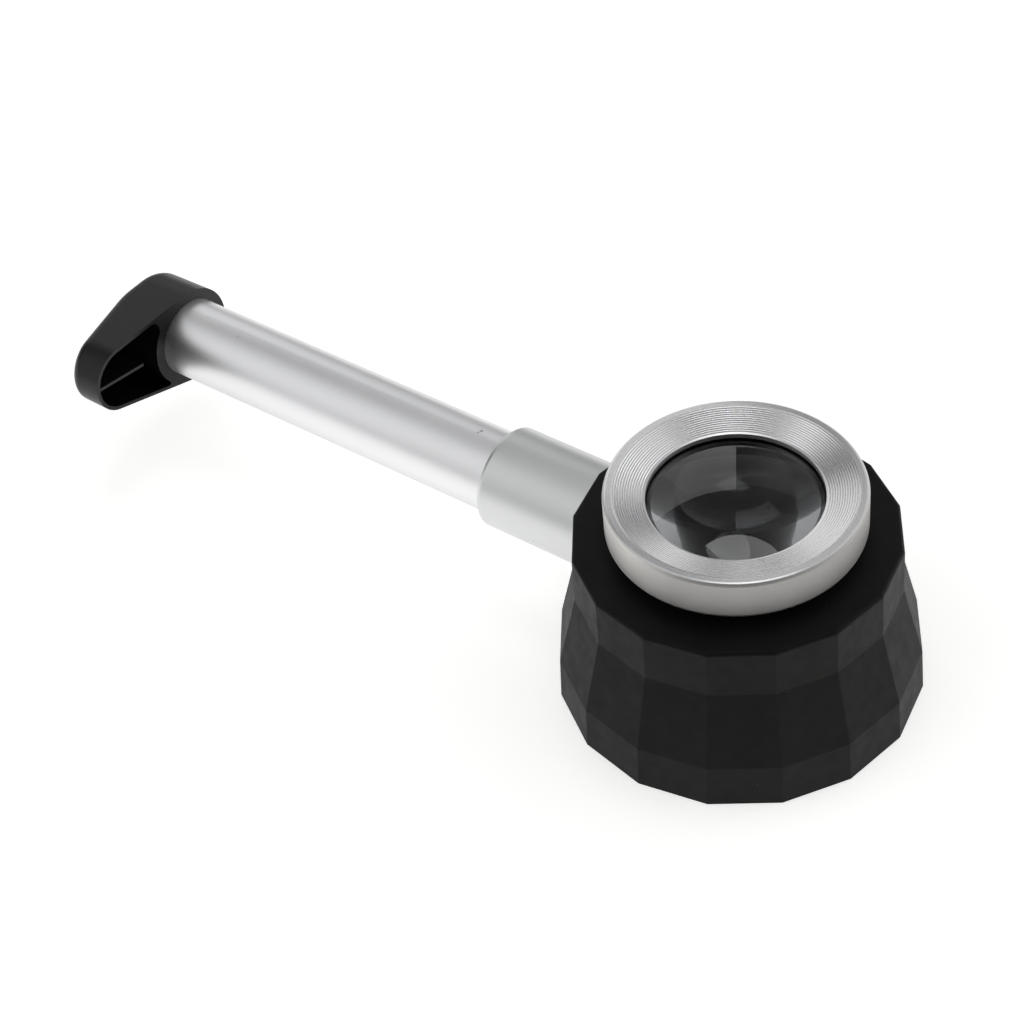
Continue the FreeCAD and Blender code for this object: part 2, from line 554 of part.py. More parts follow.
# ---------------------------------------------------------------- handle
# The collar is screwed to the housing's boss through its bulkhead, and the
# battery tube sits in its bore, held by a grub screw from below.
b = body("handle_collar", along_handle=True)
s = sketch(b, "XZ_Plane", "CollarProfile")
cr, ce, rd = D["collar_radius"], D["collar_end"], D["collar_round"]
polygon(s, [(-D["boss_face"], 0), (-D["boss_face"], cr), (-ce, cr), (-ce, D["collar_bore"]), (-D["bulkhead_end"], D["collar_bore"]), (-D["bulkhead_end"], 0)])
f = revolve(b, s, "CollarBlank", "H_Axis")
f = fillet(b, f, rd, "CollarRound", lambda e: at(e, x=-ce.val, a=cr.val))
s = sketch(b, "YZ_Plane", "CollarHoles", offset=Q.of(-30))
circle(s, D["mount_screw_side"], -D["mount_screw_drop"], 1.2)
circle(s, -D["mount_screw_side"], -D["mount_screw_drop"], 1.2)
circle(s, 0, D["wire_offset"], D["wire_hole"])
pocket(b, s, 9, "CollarHoleCuts")
s = sketch(b, "XY_Plane", "GrubHoleSketch", offset=Q.of(-5))
circle(s, Q.of(-54), 0, 1.5)
pocket(b, s, 10, "GrubHole")

b = body("collar_grub_screw", along_handle=True)
s = sketch(b, "XY_Plane", "GrubCircle", offset=-(D["tube_radius"] + 0.0))
circle(s, Q.of(-54), 0, 1.5)
f = pad(b, s, 2.0, "GrubBody", back=True)
s = sketch(b, "XY_Plane", "GrubSocket", offset=-(D["tube_radius"] + 2.0))
polygon(s, [(Q.of(-54 + 0.75 * math.cos(math.radians(60 * i))), Q.of(0.75 * math.sin(math.radians(60 * i))) if i % 3 else 0) for i in range(6)])
pocket(b, s, 1.2, "GrubSocketCut", back=True)

b = body("handle_tube", along_handle=True)
s = sketch(b, "XZ_Plane", "TubeProfile")
t0, t1, tr, tb = D["tube_start"], D["tube_end"], D["tube_radius"], D["tube_bore"]
polygon(s, [(-t0, tb), (-t0, tr - 0.3), (-(t0 + 0.3), tr), (-(t1 - 0.3), tr), (-t1, tr - 0.3), (-t1, tb)])
revolve(b, s, "TubeBlank", "H_Axis")

b = body("contact_carrier", along_handle=True)
s = sketch(b, "XZ_Plane", "ContactCarrierProfile")
polygon(s, [(-38.6, 0), (-38.6, 9.5), (-t0, 9.5), (-t0, tb), (-42.2, tb), (-42.2, 0)])
revolve(b, s, "ContactCarrierBlank", "H_Axis")
s = sketch(b, "YZ_Plane", "ContactCarrierHoles", offset=Q.of(-38))
circle(s, 0, 0, 1.0)
circle(s, D["wire_pitch"], D["wire_offset"], D["wire_radius"])
circle(s, -D["wire_pitch"], D["wire_offset"], D["wire_radius"])
pocket(b, s, 6, "ContactCarrierHoleCuts")

b = body("positive_contact", along_handle=True)
s = sketch(b, "XZ_Plane", "PositiveContactProfile")
polygon(s, [(-38.2, 0), (-38.2, 1.6), (-38.6, 1.6), (-38.6, 1.0), (-42.2, 1.0), (-42.2, 3.0), (-42.8, 3.0), (-43.0, 2.6), (-43.0, 0)])
revolve(b, s, "PositiveContactRivet", "H_Axis")

for label, shift in (("battery_front", Q.of(0)), ("battery_rear", -D["battery_length"])):
    b = body(label, along_handle=True, shift=shift)
    s = sketch(b, "XZ_Plane", "CellProfile")
    bs, bl, br = D["battery_start"], D["battery_length"], D["battery_radius"]
    polygon(s, [(-bs, 0), (-bs, D["nub_radius"] - 0.3), (-(bs + 0.3), D["nub_radius"]), (-(bs + D["nub_length"]), D["nub_radius"]),
                (-(bs + D["nub_length"]), br - 0.8), (-(bs + D["nub_length"] + 0.8), br), (-(bs + bl - 0.8), br), (-(bs + bl), br - 0.8), (-(bs + bl), 0)])
    revolve(b, s, "Cell", "H_Axis")

b = body("battery_liner", along_handle=True)
s = sketch(b, "XZ_Plane", "LinerProfile")
polygon(s, [(-43.4, 7.4), (-43.4, tb - 0.02), (-143.6, tb - 0.02), (-143.6, 7.4)])
revolve(b, s, "LinerTube", "H_Axis")

# insulated leads from the contacts through the bulkhead to the board
wp, wo, wr = size("wire_pitch"), size("wire_offset"), size("wire_radius")
for label, y in (("positive_lead", wp), ("negative_lead", -wp)):
    z = hh + wo
    bend = 1.0
    a = V(-42.0, y, z)
    c = V(-26.9 - bend, y, z)
    d = V(-26.9, y, z + bend)
    m = V(-26.9 - bend + bend * math.sin(math.pi / 4), y, z + bend - bend * math.cos(math.pi / 4))
    e = V(-26.9, y, size("board_bottom"))
    path = Part.Wire([Part.LineSegment(a, c).toShape(), Part.Arc(c, m, d).toShape(), Part.LineSegment(d, e).toShape()])
    section = Part.Wire([Part.Circle(a, V(1, 0, 0), wr).toShape()])
    lead = path.makePipeShell([section], True, False)
    f = doc.addObject("Part::Feature", "Shape_" + label)
    f.Label = label
    f.Shape = lead
    f.Placement = FreeCAD.Placement()
    parts.append(f)
    print(label, "volume", round(lead.Volume, 3), "section times length", round(math.pi * wr * wr * path.Length, 3))

# ---------------------------------------------------------------- end cap
# Teardrop cap: a round boss over the tube's end and a hollow lobe to one side,
# with one rib in the hollow. Its rear face slopes forward towards the lobe.
# Local axes: x to the lobe, z away from the head.
b = body("end_cap")
lift = math.radians(D["lobe_lift"].val)
m = FreeCAD.Matrix(0, 0, -1, 0, -math.cos(lift), math.sin(lift), 0, 0, math.sin(lift), math.cos(lift), 0, 0, 0, 0, 0, 1)
turn = FreeCAD.Placement(m).Rotation
b.Placement = FreeCAD.Placement(V(-D["cap_front"].val, 0, D["handle_height"].val), turn)
b.setExpression("Placement.Base.x", (-D["cap_front"]).txt)
b.setExpression("Placement.Base.z", D["handle_height"].txt)


def teardrop(s, big, small, offset):
    """Two arcs, the boss and the lobe, joined by their outer tangents."""
    r1, r2, c = big.val, small.val, offset.val
    t = math.acos((r1 - r2) / c)
    p1 = V(r1 * math.cos(t), r1 * math.sin(t), 0)
    p2 = V(c + r2 * math.cos(t), r2 * math.sin(t), 0)
    g1 = s.addGeometry(Part.ArcOfCircle(Part.Circle(V(0, 0, 0), V(0, 0, 1), r1), t, 2 * math.pi - t), False)
    g2 = s.addGeometry(Part.ArcOfCircle(Part.Circle(V(c, 0, 0), V(0, 0, 1), r2), -t, t), False)
    g3 = s.addGeometry(Part.LineSegment(p2, p1), False)
    g4 = s.addGeometry(Part.LineSegment(V(p1.x, -p1.y, 0), V(p2.x, -p2.y, 0)), False)
    s.addConstraint(Sketcher.Constraint("Coincident", g1, 3, -1, 1))
    s.addConstraint(Sketcher.Constraint("PointOnObject", g2, 3, -1))
    k = s.addConstraint(Sketcher.Constraint("DistanceX", -1, 1, g2, 3, c))
    s.setExpression("Constraints[%d]" % k, offset.txt)
    k = s.addConstraint(Sketcher.Constraint("Radius", g1, r1))
    s.setExpression("Constraints[%d]" % k, big.txt)
    k = s.addConstraint(Sketcher.Constraint("Radius", g2, r2))
    s.setExpression("Constraints[%d]" % k, small.txt)
    s.addConstraint(Sketcher.Constraint("Tangent", g2, 2, g3, 1))
    s.addConstraint(Sketcher.Constraint("Tangent", g3, 2, g1, 1))
    s.addConstraint(Sketcher.Constraint("Tangent", g1, 2, g4, 1))
    s.addConstraint(Sketcher.Constraint("Tangent", g4, 2, g2, 1))
    return s


s = sketch(b, "XY_Plane", "CapOutline")
teardrop(s, D["cap_boss"], D["lobe_radius"], D["lobe_offset"])
f = pad(b, s, D["cap_depth"] + 1, "CapBlank")
f.TaperAngle = -D["cap_draft"].val
f.setExpression("TaperAngle", (-D["cap_draft"]).txt)
doc.recompute()
# the rear: flat over the boss, then a bend, then a straight slope to the tip
s = sketch(b, "XZ_Plane", "RearProfile")
fall = math.radians(D["cap_fall"].val)
x0, z0, cb = D["cap_flat"].val, D["cap_depth"].val, D["cap_bend"].val
bend_r = cb / math.tan(fall / 2)
x1, z1 = x0 + cb + cb * math.cos(fall), z0 - cb * math.sin(fall)
x2, top = 36.0, z0 + 3
z2 = z1 - (x2 - x1) * math.tan(fall)
outline = [V(-20, z0, 0), V(x0, z0, 0), V(x1, z1, 0), V(x2, z2, 0), V(x2, top, 0), V(-20, top, 0)]
flat = s.addGeometry(Part.LineSegment(outline[0], outline[1]), False)
bend = s.addGeometry(Part.ArcOfCircle(Part.Circle(V(x0, z0 - bend_r, 0), V(0, 0, 1), bend_r), math.pi / 2 - fall, math.pi / 2), False)
rest = [s.addGeometry(Part.LineSegment(outline[i], outline[(i + 1) % 6]), False) for i in (2, 3, 4, 5)]
S = Sketcher.Constraint
for con in (
    S("Tangent", flat, 2, bend, 2), S("Tangent", bend, 1, rest[0], 1), S("Coincident", rest[0], 2, rest[1], 1),
    S("Coincident", rest[1], 2, rest[2], 1), S("Coincident", rest[2], 2, rest[3], 1), S("Coincident", rest[3], 2, flat, 1),
    S("Horizontal", flat), S("Horizontal", rest[2]), S("Vertical", rest[1]), S("Vertical", rest[3]),
):
    s.addConstraint(con)
for kind, where, v, q in (
    ("DistanceX", (-1, 1, flat, 2), x0, D["cap_flat"].txt), ("DistanceY", (-1, 1, flat, 2), z0, D["cap_depth"].txt),
    ("Radius", (bend,), bend_r, None), ("DistanceX", (-1, 1, rest[0], 2), x2, None), ("DistanceY", (-1, 1, rest[0], 2), z2, None), ("DistanceX", (-1, 1, rest[2], 2), -20, None), ("DistanceY", (-1, 1, rest[2], 1), top, None),
):
    k = s.addConstraint(S(kind, *where, v))
    if q:
        s.setExpression("Constraints[%d]" % k, q)
f = pocket(b, s, 40, "RearCut", middle=True)
seams = (x0, x1)
f = fillet(b, f, D["cap_round"], "RearRound",
           lambda e: min(p.z for p in ends(e)) > 5 and not (len(ends(e)) == 2 and any(max(abs(p.x - x) for p in ends(e)) < 0.2 for x in seams)))
s = sketch(b, "XY_Plane", "CapBoreSketch")
circle(s, 0, 0, D["cap_bore"])
f = pocket(b, s, D["cap_bore_depth"], "CapBore", back=True)

# the hollow: the teardrop inside its wall, less the boss, the webs where the
# wall meets the boss, and the rib that stands on the lobe's tip wall
s = sketch(b, "XY_Plane", "HollowOutline")
B, Lr, C, W = D["cap_boss"], D["lobe_radius"] - D["cap_wall"], D["lobe_offset"], D["cap_wall"]
web, small = D["web_round"], D["web_corner"]
t = math.acos((D["cap_boss"].val - D["lobe_radius"].val) / C.val)
n, d = V(math.cos(t), math.sin(t), 0), V(math.sin(t), -math.cos(t), 0)


def corner(w):
    """Where a round of radius w touches the wall's inside and the boss."""
    u = math.sqrt((B.val + w) ** 2 - (B.val - W.val - w) ** 2)
    c = n * (B.val - W.val - w) + d * u
    return c, n * (B.val - W.val) + d * u, c * (B.val / (B.val + w))


wc, on_line, on_boss = corner(web.val)
wc2, on_line2, on_boss2 = corner(small.val)
lobe_touch = V(C.val, 0, 0) + n * Lr.val
hr = D["rib_width"].val / 2
rib_tip = V(C.val + math.sqrt(Lr.val ** 2 - hr ** 2), hr, 0)
rib_end = D["cap_boss"] + D["rib_gap"]


def flip(p):
    return V(p.x, -p.y, 0)


def arc(c, r, p, q):
    """The counter-clockwise arc about c from p to q."""
    a0, a1 = math.atan2(p.y - c.y, p.x - c.x), math.atan2(q.y - c.y, q.x - c.x)
    if a1 < a0:
        a1 += 2 * math.pi
    return s.addGeometry(Part.ArcOfCircle(Part.Circle(c, V(0, 0, 1), r), a0, a1), False)


cc = V(C.val, 0, 0)
g_boss = arc(V(0, 0, 0), B.val, flip(on_boss2), on_boss)
g_webu = arc(wc, web.val, on_line, on_boss)
g_wallu = s.addGeometry(Part.LineSegment(on_line, lobe_touch), False)
g_lobeu = arc(cc, Lr.val, rib_tip, lobe_touch)
g_ribu = s.addGeometry(Part.LineSegment(rib_tip, V(rib_end.val, hr, 0)), False)
g_ribe = s.addGeometry(Part.LineSegment(V(rib_end.val, hr, 0), V(rib_end.val, -hr, 0)), False)
g_ribl = s.addGeometry(Part.LineSegment(V(rib_end.val, -hr, 0), flip(rib_tip)), False)
g_lobel = arc(cc, Lr.val, flip(lobe_touch), flip(rib_tip))
g_walll = s.addGeometry(Part.LineSegment(flip(lobe_touch), flip(on_line2)), False)
g_webl = arc(flip(wc2), small.val, flip(on_boss2), flip(on_line2))
for con in (
    S("Tangent", g_boss, 2, g_webu, 2), S("Tangent", g_webu, 1, g_wallu, 1), S("Tangent", g_wallu, 2, g_lobeu, 2),
    S("Coincident", g_lobeu, 1, g_ribu, 1), S("Coincident", g_ribu, 2, g_ribe, 1), S("Coincident", g_ribe, 2, g_ribl, 1),
    S("Coincident", g_ribl, 2, g_lobel, 2), S("Tangent", g_lobel, 1, g_walll, 1), S("Tangent", g_walll, 2, g_webl, 2),
    S("Tangent", g_webl, 1, g_boss, 1), S("Coincident", g_boss, 3, -1, 1), S("Coincident", g_lobeu, 3, g_lobel, 3),
    S("PointOnObject", g_lobeu, 3, -1), S("Horizontal", g_ribu), S("Horizontal", g_ribl),
    S("Symmetric", g_ribe, 1, g_ribe, 2, -1),
):
    s.addConstraint(con)
guide = s.addGeometry(Part.Circle(V(0, 0, 0), V(0, 0, 1), B.val - W.val), True)
s.addConstraint(S("Coincident", guide, 3, -1, 1))
s.addConstraint(S("Tangent", g_wallu, guide))
s.addConstraint(S("Tangent", g_walll, guide))
for kind, where, q in (
    ("Radius", (g_boss,), B), ("Radius", (g_webu,), web), ("Radius", (g_webl,), small), ("Radius", (g_lobeu,), Lr), ("Radius", (g_lobel,), Lr),
    ("Radius", (guide,), B - W), ("DistanceX", (-1, 1, g_lobeu, 3), C), ("DistanceX", (-1, 1, g_ribe, 1), rib_end), ("Distance", (g_ribe,), D["rib_width"]),
):
    k = s.addConstraint(S(kind, *where, q.val))
    s.setExpression("Constraints[%d]" % k, q.txt)
doc.recompute()
slope_face = [i + 1 for i, fc_ in enumerate(f.Shape.Faces)
              if fc_.Surface.TypeId == "Part::GeomPlane" and fc_.normalAt(0, 0).z > 0.9 and fc_.normalAt(0, 0).x > 0.05][0]
before = b.Shape.Volume
h = b.newObject("PartDesign::Pocket", "Hollow")
h.Profile = s
h.Type = "UpToFace"
h.UpToFace = (f, ["Face%d" % slope_face])
h.Offset = -D["floor_thickness"].val
h.setExpression("Offset", (-D["floor_thickness"]).txt)
h.Reversed = True
f = finish(b, h, before, least=500)
s = sketch(b, "XY_Plane", "CapPilotSketch", offset=D["cap_bore_depth"] - 0.5)
circle(s, 0, 0, 1.4)
f = pocket(b, s, 3.6, "CapPilot", back=True)

# threaded plug inside the tube's end, with its seal, screw and contact spring
b = body("cap_plug", along_handle=True)
s = sketch(b, "XZ_Plane", "PlugProfile")
pe = D["cap_front"] + D["cap_bore_depth"]
pr = tb - 0.05
polygon(s, [(-153.5, 3.3), (-153.5, pr - 0.25), (-153.75, pr), (-155.0, pr), (-155.0, 6.0), (-159.0, 6.0), (-159.0, pr), (-159.4, pr), (-159.4, pr - 0.95),
            (-160.6, pr - 0.95), (-160.6, pr), (-pe, pr), (-pe, 1.4), (-156.1, 1.4), (-156.1, 3.3)])
revolve(b, s, "PlugBlank", "H_Axis")

b = body("cap_seal", along_handle=True)
s = sketch(b, "XZ_Plane", "SealSection")
circle(s, -160, tb - 0.51, 0.46)
revolve(b, s, "SealTorus", "H_Axis")

screw_group("cap_screw", [((-156.1, 0, hh), (-1, 0, 0))], 2.7, 1.7, 1.4, 12.2, 1.4, 0.8)

spring_radius, wire = 5.2, 0.5
x0, x1 = size("battery_start") + 2 * size("battery_length"), 153.5
height = x1 - x0 - 2 * wire - 0.02
helix = Part.makeHelix(height / 4.0, height, spring_radius)
start = V(spring_radius, 0, 0)
section = Part.Wire([Part.Circle(start, V(0, 1, 0), wire).toShape()])
coil = Part.Wire(helix).makePipeShell([section], True, True)
coil = coil.transformed(FreeCAD.Placement(V(-(x0 + wire + 0.01), 0, hh), FreeCAD.Rotation(V(0, 0, 1), V(-1, 0, 0)).multiply(FreeCAD.Rotation(V(0, 0, 1), 45))).toMatrix(), True)
f = doc.addObject("Part::Feature", "Shape_battery_spring")
f.Label = "battery_spring"
f.Shape = coil
f.Placement = FreeCAD.Placement()
parts.append(f)
print("battery_spring volume", round(coil.Volume, 2), "section times length", round(math.pi * wire * wire * helix.Length, 2))

# ---------------------------------------------------------------- write the parts
doc.recompute()
bad = [o.Name for o in doc.Objects if "Invalid" in o.State or "Error" in o.State]
if bad:
    raise RuntimeError("failed features: " + ", ".join(bad))
labels = [p.Label for p in parts]
if len(set(labels)) != len(labels):
    raise RuntimeError("two parts share a name")
for p in parts:
    if p.Shape.isNull() or not p.Shape.isValid() or not p.Shape.Solids:
        raise RuntimeError("%s has no valid solid" % p.Label)
os.makedirs("parts", exist_ok=True)
for old in os.listdir("parts"):
    if old.endswith(".step") and old[:-5] not in labels:
        os.remove(os.path.join("parts", old))
for p in parts:
    p.Shape.exportStep("parts/%s.step" % p.Label)
    bb = p.Shape.optimalBoundingBox()
    print("%-22s %9.1f mm3  solids %d  faces %3d  x %.2f..%.2f  y %.2f..%.2f  z %.2f..%.2f" % (
        p.Label, p.Shape.Volume, len(p.Shape.Solids), len(p.Shape.Faces), bb.XMin, bb.XMax, bb.YMin, bb.YMax, bb.ZMin, bb.ZMax))
print(len(parts), "parts")
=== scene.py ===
import math
import bpy
from mathutils import Matrix, Vector

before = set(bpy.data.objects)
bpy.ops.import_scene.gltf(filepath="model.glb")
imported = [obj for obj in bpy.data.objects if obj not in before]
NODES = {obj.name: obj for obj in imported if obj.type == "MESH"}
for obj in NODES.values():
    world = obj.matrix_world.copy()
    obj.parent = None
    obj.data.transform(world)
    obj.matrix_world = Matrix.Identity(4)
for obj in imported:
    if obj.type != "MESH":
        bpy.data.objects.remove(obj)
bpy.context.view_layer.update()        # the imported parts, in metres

MM = 0.001
HANDLE_Z = 27.15         # height of the handle's axis, mm


# ------------------------------------------------------------------ mesh helpers
def lathe(name, profile, segments=256, axis="Z", closed=True, sharp=28.0, centre=(0, 0, 0)):
    """A turned piece. The profile is a list of (radius, place along the axis, material index) in mm; it runs so that
    the solid is on its left. The axis X piece is turned about the handle's axis."""
    pts = [(p[0], p[1], p[2] if len(p) > 2 else 0) for p in profile]
    verts, rings, faces, mats = [], [], [], []
    for r, h, _ in pts:
        if r < 1e-6:
            rings.append([len(verts)])
            verts.append((0.0, 0.0, h))
        else:
            start = len(verts)
            for k in range(segments):
                a = 2 * math.pi * k / segments
                verts.append((r * math.cos(a), r * math.sin(a), h))
            rings.append(list(range(start, start + segments)))
    n = len(pts)
    for i in range(n if closed else n - 1):
        a, b = rings[i], rings[(i + 1) % n]
        for k in range(segments):
            k2 = (k + 1) % segments
            if len(a) == 1 and len(b) == 1:
                continue
            if len(a) == 1:
                faces.append((a[0], b[k2], b[k]))
            elif len(b) == 1:
                faces.append((a[k], a[k2], b[0]))
            else:
                faces.append((a[k], a[k2], b[k2], b[k]))
            mats.append(pts[i][2])
    out = []
    for x, y, z in verts:
        if axis == "Z":
            out.append(((x + centre[0]) * MM, (y + centre[1]) * MM, (z + centre[2]) * MM))
        else:
            out.append(((z + centre[0]) * MM, (x + centre[1]) * MM, (y + centre[2]) * MM))
    me = bpy.data.meshes.new(name)
    me.from_pydata(out, [], faces)
    me.validate()
    for i, p in enumerate(me.polygons):
        p.use_smooth = True
        p.material_index = mats[i] if i < len(mats) else 0
    me.set_sharp_from_angle(angle=math.radians(sharp))
    ob = bpy.data.objects.new(name, me)
    bpy.context.scene.collection.objects.link(ob)
    return ob


def rounded(points, steps=6):
    """A profile with its corners rounded. Each point is (radius, height, rounding, material index)."""
    out = []
    n = len(points)
    for i in range(n):
        r, h, fr, m = points[i]
        if fr <= 0:
            out.append((r, h, m))
            continue
        p = Vector((r, h))
        a, c = Vector(points[i - 1][:2]), Vector(points[(i + 1) % n][:2])
        u, v = (a - p), (c - p)
        lu, lv = u.length, v.length
        u.normalize()
        v.normalize()
        half = math.acos(max(-1.0, min(1.0, u.dot(v)))) / 2
        back = min(fr / math.tan(half), 0.49 * lu, 0.49 * lv)
        fr = back * math.tan(half)
        centre = p + (u + v).normalized() * (fr / math.sin(half))
        s, e = p + u * back, p + v * back
        a0 = math.atan2(s.y - centre.y, s.x - centre.x)
        a1 = math.atan2(e.y - centre.y, e.x - centre.x)
        d = (a1 - a0 + math.pi) % (2 * math.pi) - math.pi
        for k in range(steps + 1):
            t = a0 + d * k / steps
            out.append((centre.x + fr * math.cos(t), centre.y + fr * math.sin(t), points[i - 1][3] if k < steps / 2 else m))
    return out


# ------------------------------------------------------------------ material helpers
class Mat:
    def __init__(self, name):
        self.m = bpy.data.materials.new(name)
        self.m.use_nodes = True
        self.t = self.m.node_tree
        self.t.nodes.clear()
        self.out = self.t.nodes.new("ShaderNodeOutputMaterial")
        self.p = self.t.nodes.new("ShaderNodeBsdfPrincipled")
        self.t.links.new(self.p.outputs[0], self.out.inputs[0])
        self.coord = self.t.nodes.new("ShaderNodeTexCoord").outputs["Object"]

    def set(self, **kw):
        for k, v in kw.items():
            s = self.p.inputs[k.replace("_", " ")]
            if isinstance(v, bpy.types.NodeSocket):
                self.t.links.new(v, s)
            elif isinstance(v, (tuple, list)) and len(v) == 3 and s.type == "RGBA":
                s.default_value = (*v, 1.0)
            else:
                s.default_value = v
        return self

    def put(self, s, v):
        if isinstance(v, bpy.types.NodeSocket):
            self.t.links.new(v, s)
        elif isinstance(v, (tuple, list)) and len(v) == 3 and s.type == "RGBA":
            s.default_value = (*v, 1.0)
        else:
            s.default_value = v

    def stretch(self, sx, sy, sz, source=None):
        n = self.t.nodes.new("ShaderNodeVectorMath")
        n.operation = "MULTIPLY"
        self.t.links.new(source or self.coord, n.inputs[0])
        n.inputs[1].default_value = (sx, sy, sz)
        return n.outputs[0]

    def noise(self, scale, detail=3.0, rough=0.5, vec=None):
        n = self.t.nodes.new("ShaderNodeTexNoise")
        n.inputs["Scale"].default_value = scale
        n.inputs["Detail"].default_value = detail
        n.inputs["Roughness"].default_value = rough
        self.t.links.new(vec or self.coord, n.inputs["Vector"])
        return n.outputs[0]

    def cells(self, scale, vec=None, colour=False):
        n = self.t.nodes.new("ShaderNodeTexVoronoi")
        n.inputs["Scale"].default_value = scale
        self.t.links.new(vec or self.coord, n.inputs["Vector"])
        return (n.outputs["Distance"], n.outputs["Color"]) if colour else n.outputs["Distance"]

    def math(self, op, a, b=0.0, c=0.0, clamp=False):
        n = self.t.nodes.new("ShaderNodeMath")
        n.operation = op
        n.use_clamp = clamp
        for s, v in zip(n.inputs, (a, b, c)):
            self.put(s, v)
        return n.outputs[0]

    def remap(self, v, a, b, c, d, smooth=False):
        n = self.t.nodes.new("ShaderNodeMapRange")
        if smooth:
            n.interpolation_type = "SMOOTHSTEP"
        for s, x in zip(n.inputs, (v, a, b, c, d)):
            self.put(s, x)
        return n.outputs[0]

    def mix(self, f, a, b):
        n = self.t.nodes.new("ShaderNodeMix")
        n.data_type = "RGBA"
        self.put(n.inputs[0], f)
        self.put(n.inputs[6], a)
        self.put(n.inputs[7], b)
        return n.outputs[2]

    def bump(self, height, distance, strength=1.0, painted_underside_shade=None):
        n = self.t.nodes.new("ShaderNodeBump")
        n.inputs["Strength"].default_value = strength
        n.inputs["Distance"].default_value = distance
        self.t.links.new(height, n.inputs["Height"])
        if painted_underside_shade is not None:
            self.t.links.new(painted_underside_shade, n.inputs["Normal"])
        return n.outputs[0]

    def axes(self):
        n = self.t.nodes.new("ShaderNodeSeparateXYZ")
        self.t.links.new(self.coord, n.inputs[0])
        return n.outputs

    def radius(self):
        x, y, _ = self.axes()
        return self.math("SQRT", self.math("ADD", self.math("MULTIPLY", x, x), self.math("MULTIPLY", y, y)))

    def near(self, point, radius, soft=0.6, wobble=0.0):
        """1 close to a point of the object (mm), falling to 0 at the radius (mm); wobble roughens its outline."""
        n = self.t.nodes.new("ShaderNodeVectorMath")
        n.operation = "DISTANCE"
        self.t.links.new(self.coord, n.inputs[0])
        n.inputs[1].default_value = tuple(v * MM for v in point)
        d = n.outputs["Value"]
        if wobble:
            d = self.math("ADD", d, self.math("MULTIPLY", self.math("SUBTRACT", self.noise(2200, 2), 0.5), wobble * MM))
        return self.remap(d, radius * soft * MM, radius * MM, 1.0, 0.0)

    def band(self, v, lo, hi, soft=0.02):
        """1 where lo < v < hi, in mm, with soft edges."""
        a = self.remap(v, (lo - soft) * MM, (lo + soft) * MM, 0.0, 1.0)
        b = self.remap(v, (hi - soft) * MM, (hi + soft) * MM, 1.0, 0.0)
        return self.math("MULTIPLY", a, b)

    def specks(self, scale, size, share):
        """Sparse dots: 1 inside a dot. scale is cells per metre, size the dot's radius in cells, share the part of cells with one."""
        d, colour = self.cells(scale, colour=True)
        s = self.t.nodes.new("ShaderNodeSeparateColor")
        self.t.links.new(colour, s.inputs[0])
        dot = self.math("LESS_THAN", d, size)
        keep = self.math("LESS_THAN", s.outputs[0], share)
        return self.math("MULTIPLY", dot, keep)


def rubber():
    m = Mat("moulded_rubber")
    tone = m.remap(m.noise(160, 4), 0.3, 0.7, 0.85, 1.2)
    dust = m.math("ADD", m.specks(420, 0.055, 0.10), m.specks(1300, 0.08, 0.035), clamp=True)
    film = m.remap(m.noise(60, 5, 0.6), 0.45, 0.75, 0.0, 1.0)
    base = m.mix(m.math("MULTIPLY", film, 0.25), (0.0042, 0.0042, 0.0040), (0.0075, 0.0073, 0.0068))
    n = m.t.nodes.new("ShaderNodeVectorMath")
    n.operation = "SCALE"
    m.t.links.new(base, n.inputs[0])
    m.t.links.new(tone, n.inputs["Scale"])
    base = m.mix(m.math("MULTIPLY", dust, 0.35), n.outputs[0], (0.16, 0.155, 0.14))
    grain = m.bump(m.noise(5200, 3, 0.6), 0.00002, 0.45)
    grain = m.bump(m.noise(900, 3, 0.5), 0.00003, 0.18, grain)
    m.set(Base_Color=base, Roughness=m.remap(m.noise(300, 4), 0.3, 0.7, 0.50, 0.60), Normal=grain)
    m.set(Specular_IOR_Level=0.15, Sheen_Weight=0.012, Sheen_Roughness=0.5)
    return m.m


def satin(name, colour, rough, grain_scale=9000, marks=True, drawn=None):
    """Bead-blasted, anodised aluminium."""
    m = Mat(name)
    cloud = m.remap(m.noise(35, 4, 0.55), 0.3, 0.7, -1.0, 1.0)
    fine = m.noise(grain_scale, 2, 0.6)
    base = m.mix(m.remap(cloud, -1, 1, 0, 1), tuple(c * 0.985 for c in colour), tuple(min(1, c * 1.015) for c in colour))
    if marks:
        spots = m.specks(240, 0.045, 0.045)
        base = m.mix(m.math("MULTIPLY", spots, 0.45), base, (0.30, 0.30, 0.36))
    m.set(Base_Color=base, Metallic=1.0, Roughness=m.math("ADD", m.math("MULTIPLY", cloud, 0.012), m.remap(fine, 0.3, 0.7, rough - 0.03, rough + 0.03)))
    nrm = m.bump(fine, 0.000012, 0.35)
    if drawn is not None:
        nrm = m.bump(m.noise(1.0, 3, 0.6, m.stretch(*drawn)), 0.000006, 0.25, nrm)
    m.set(Normal=nrm)
    return m.m


def turned(name, colour, rough, line_scale=9000, aniso=0.75, depth=0.000004):
    """Aluminium faced on a lathe: fine concentric tool lines about the Z axis."""
    m = Mat(name)
    r = m.radius()
    n = m.t.nodes.new("ShaderNodeCombineXYZ")
    m.t.links.new(r, n.inputs[0])
    lines = m.noise(line_scale, 2, 0.7, n.outputs[0])
    soft = m.noise(120, 3)
    base = m.mix(m.remap(lines, 0.3, 0.7, 0, 1), tuple(c * 0.93 for c in colour), colour)
    nrm = m.bump(lines, depth, 0.5)
    tan = m.t.nodes.new("ShaderNodeTangent")
    tan.direction_type = "RADIAL"
    tan.axis = "Z"
    m.set(Base_Color=base, Metallic=1.0, Roughness=m.remap(soft, 0.3, 0.7, rough - 0.02, rough + 0.02), Normal=nrm,
          Anisotropic=aniso, Anisotropic_Rotation=0.25, Tangent=tan.outputs[0])
    return m.m


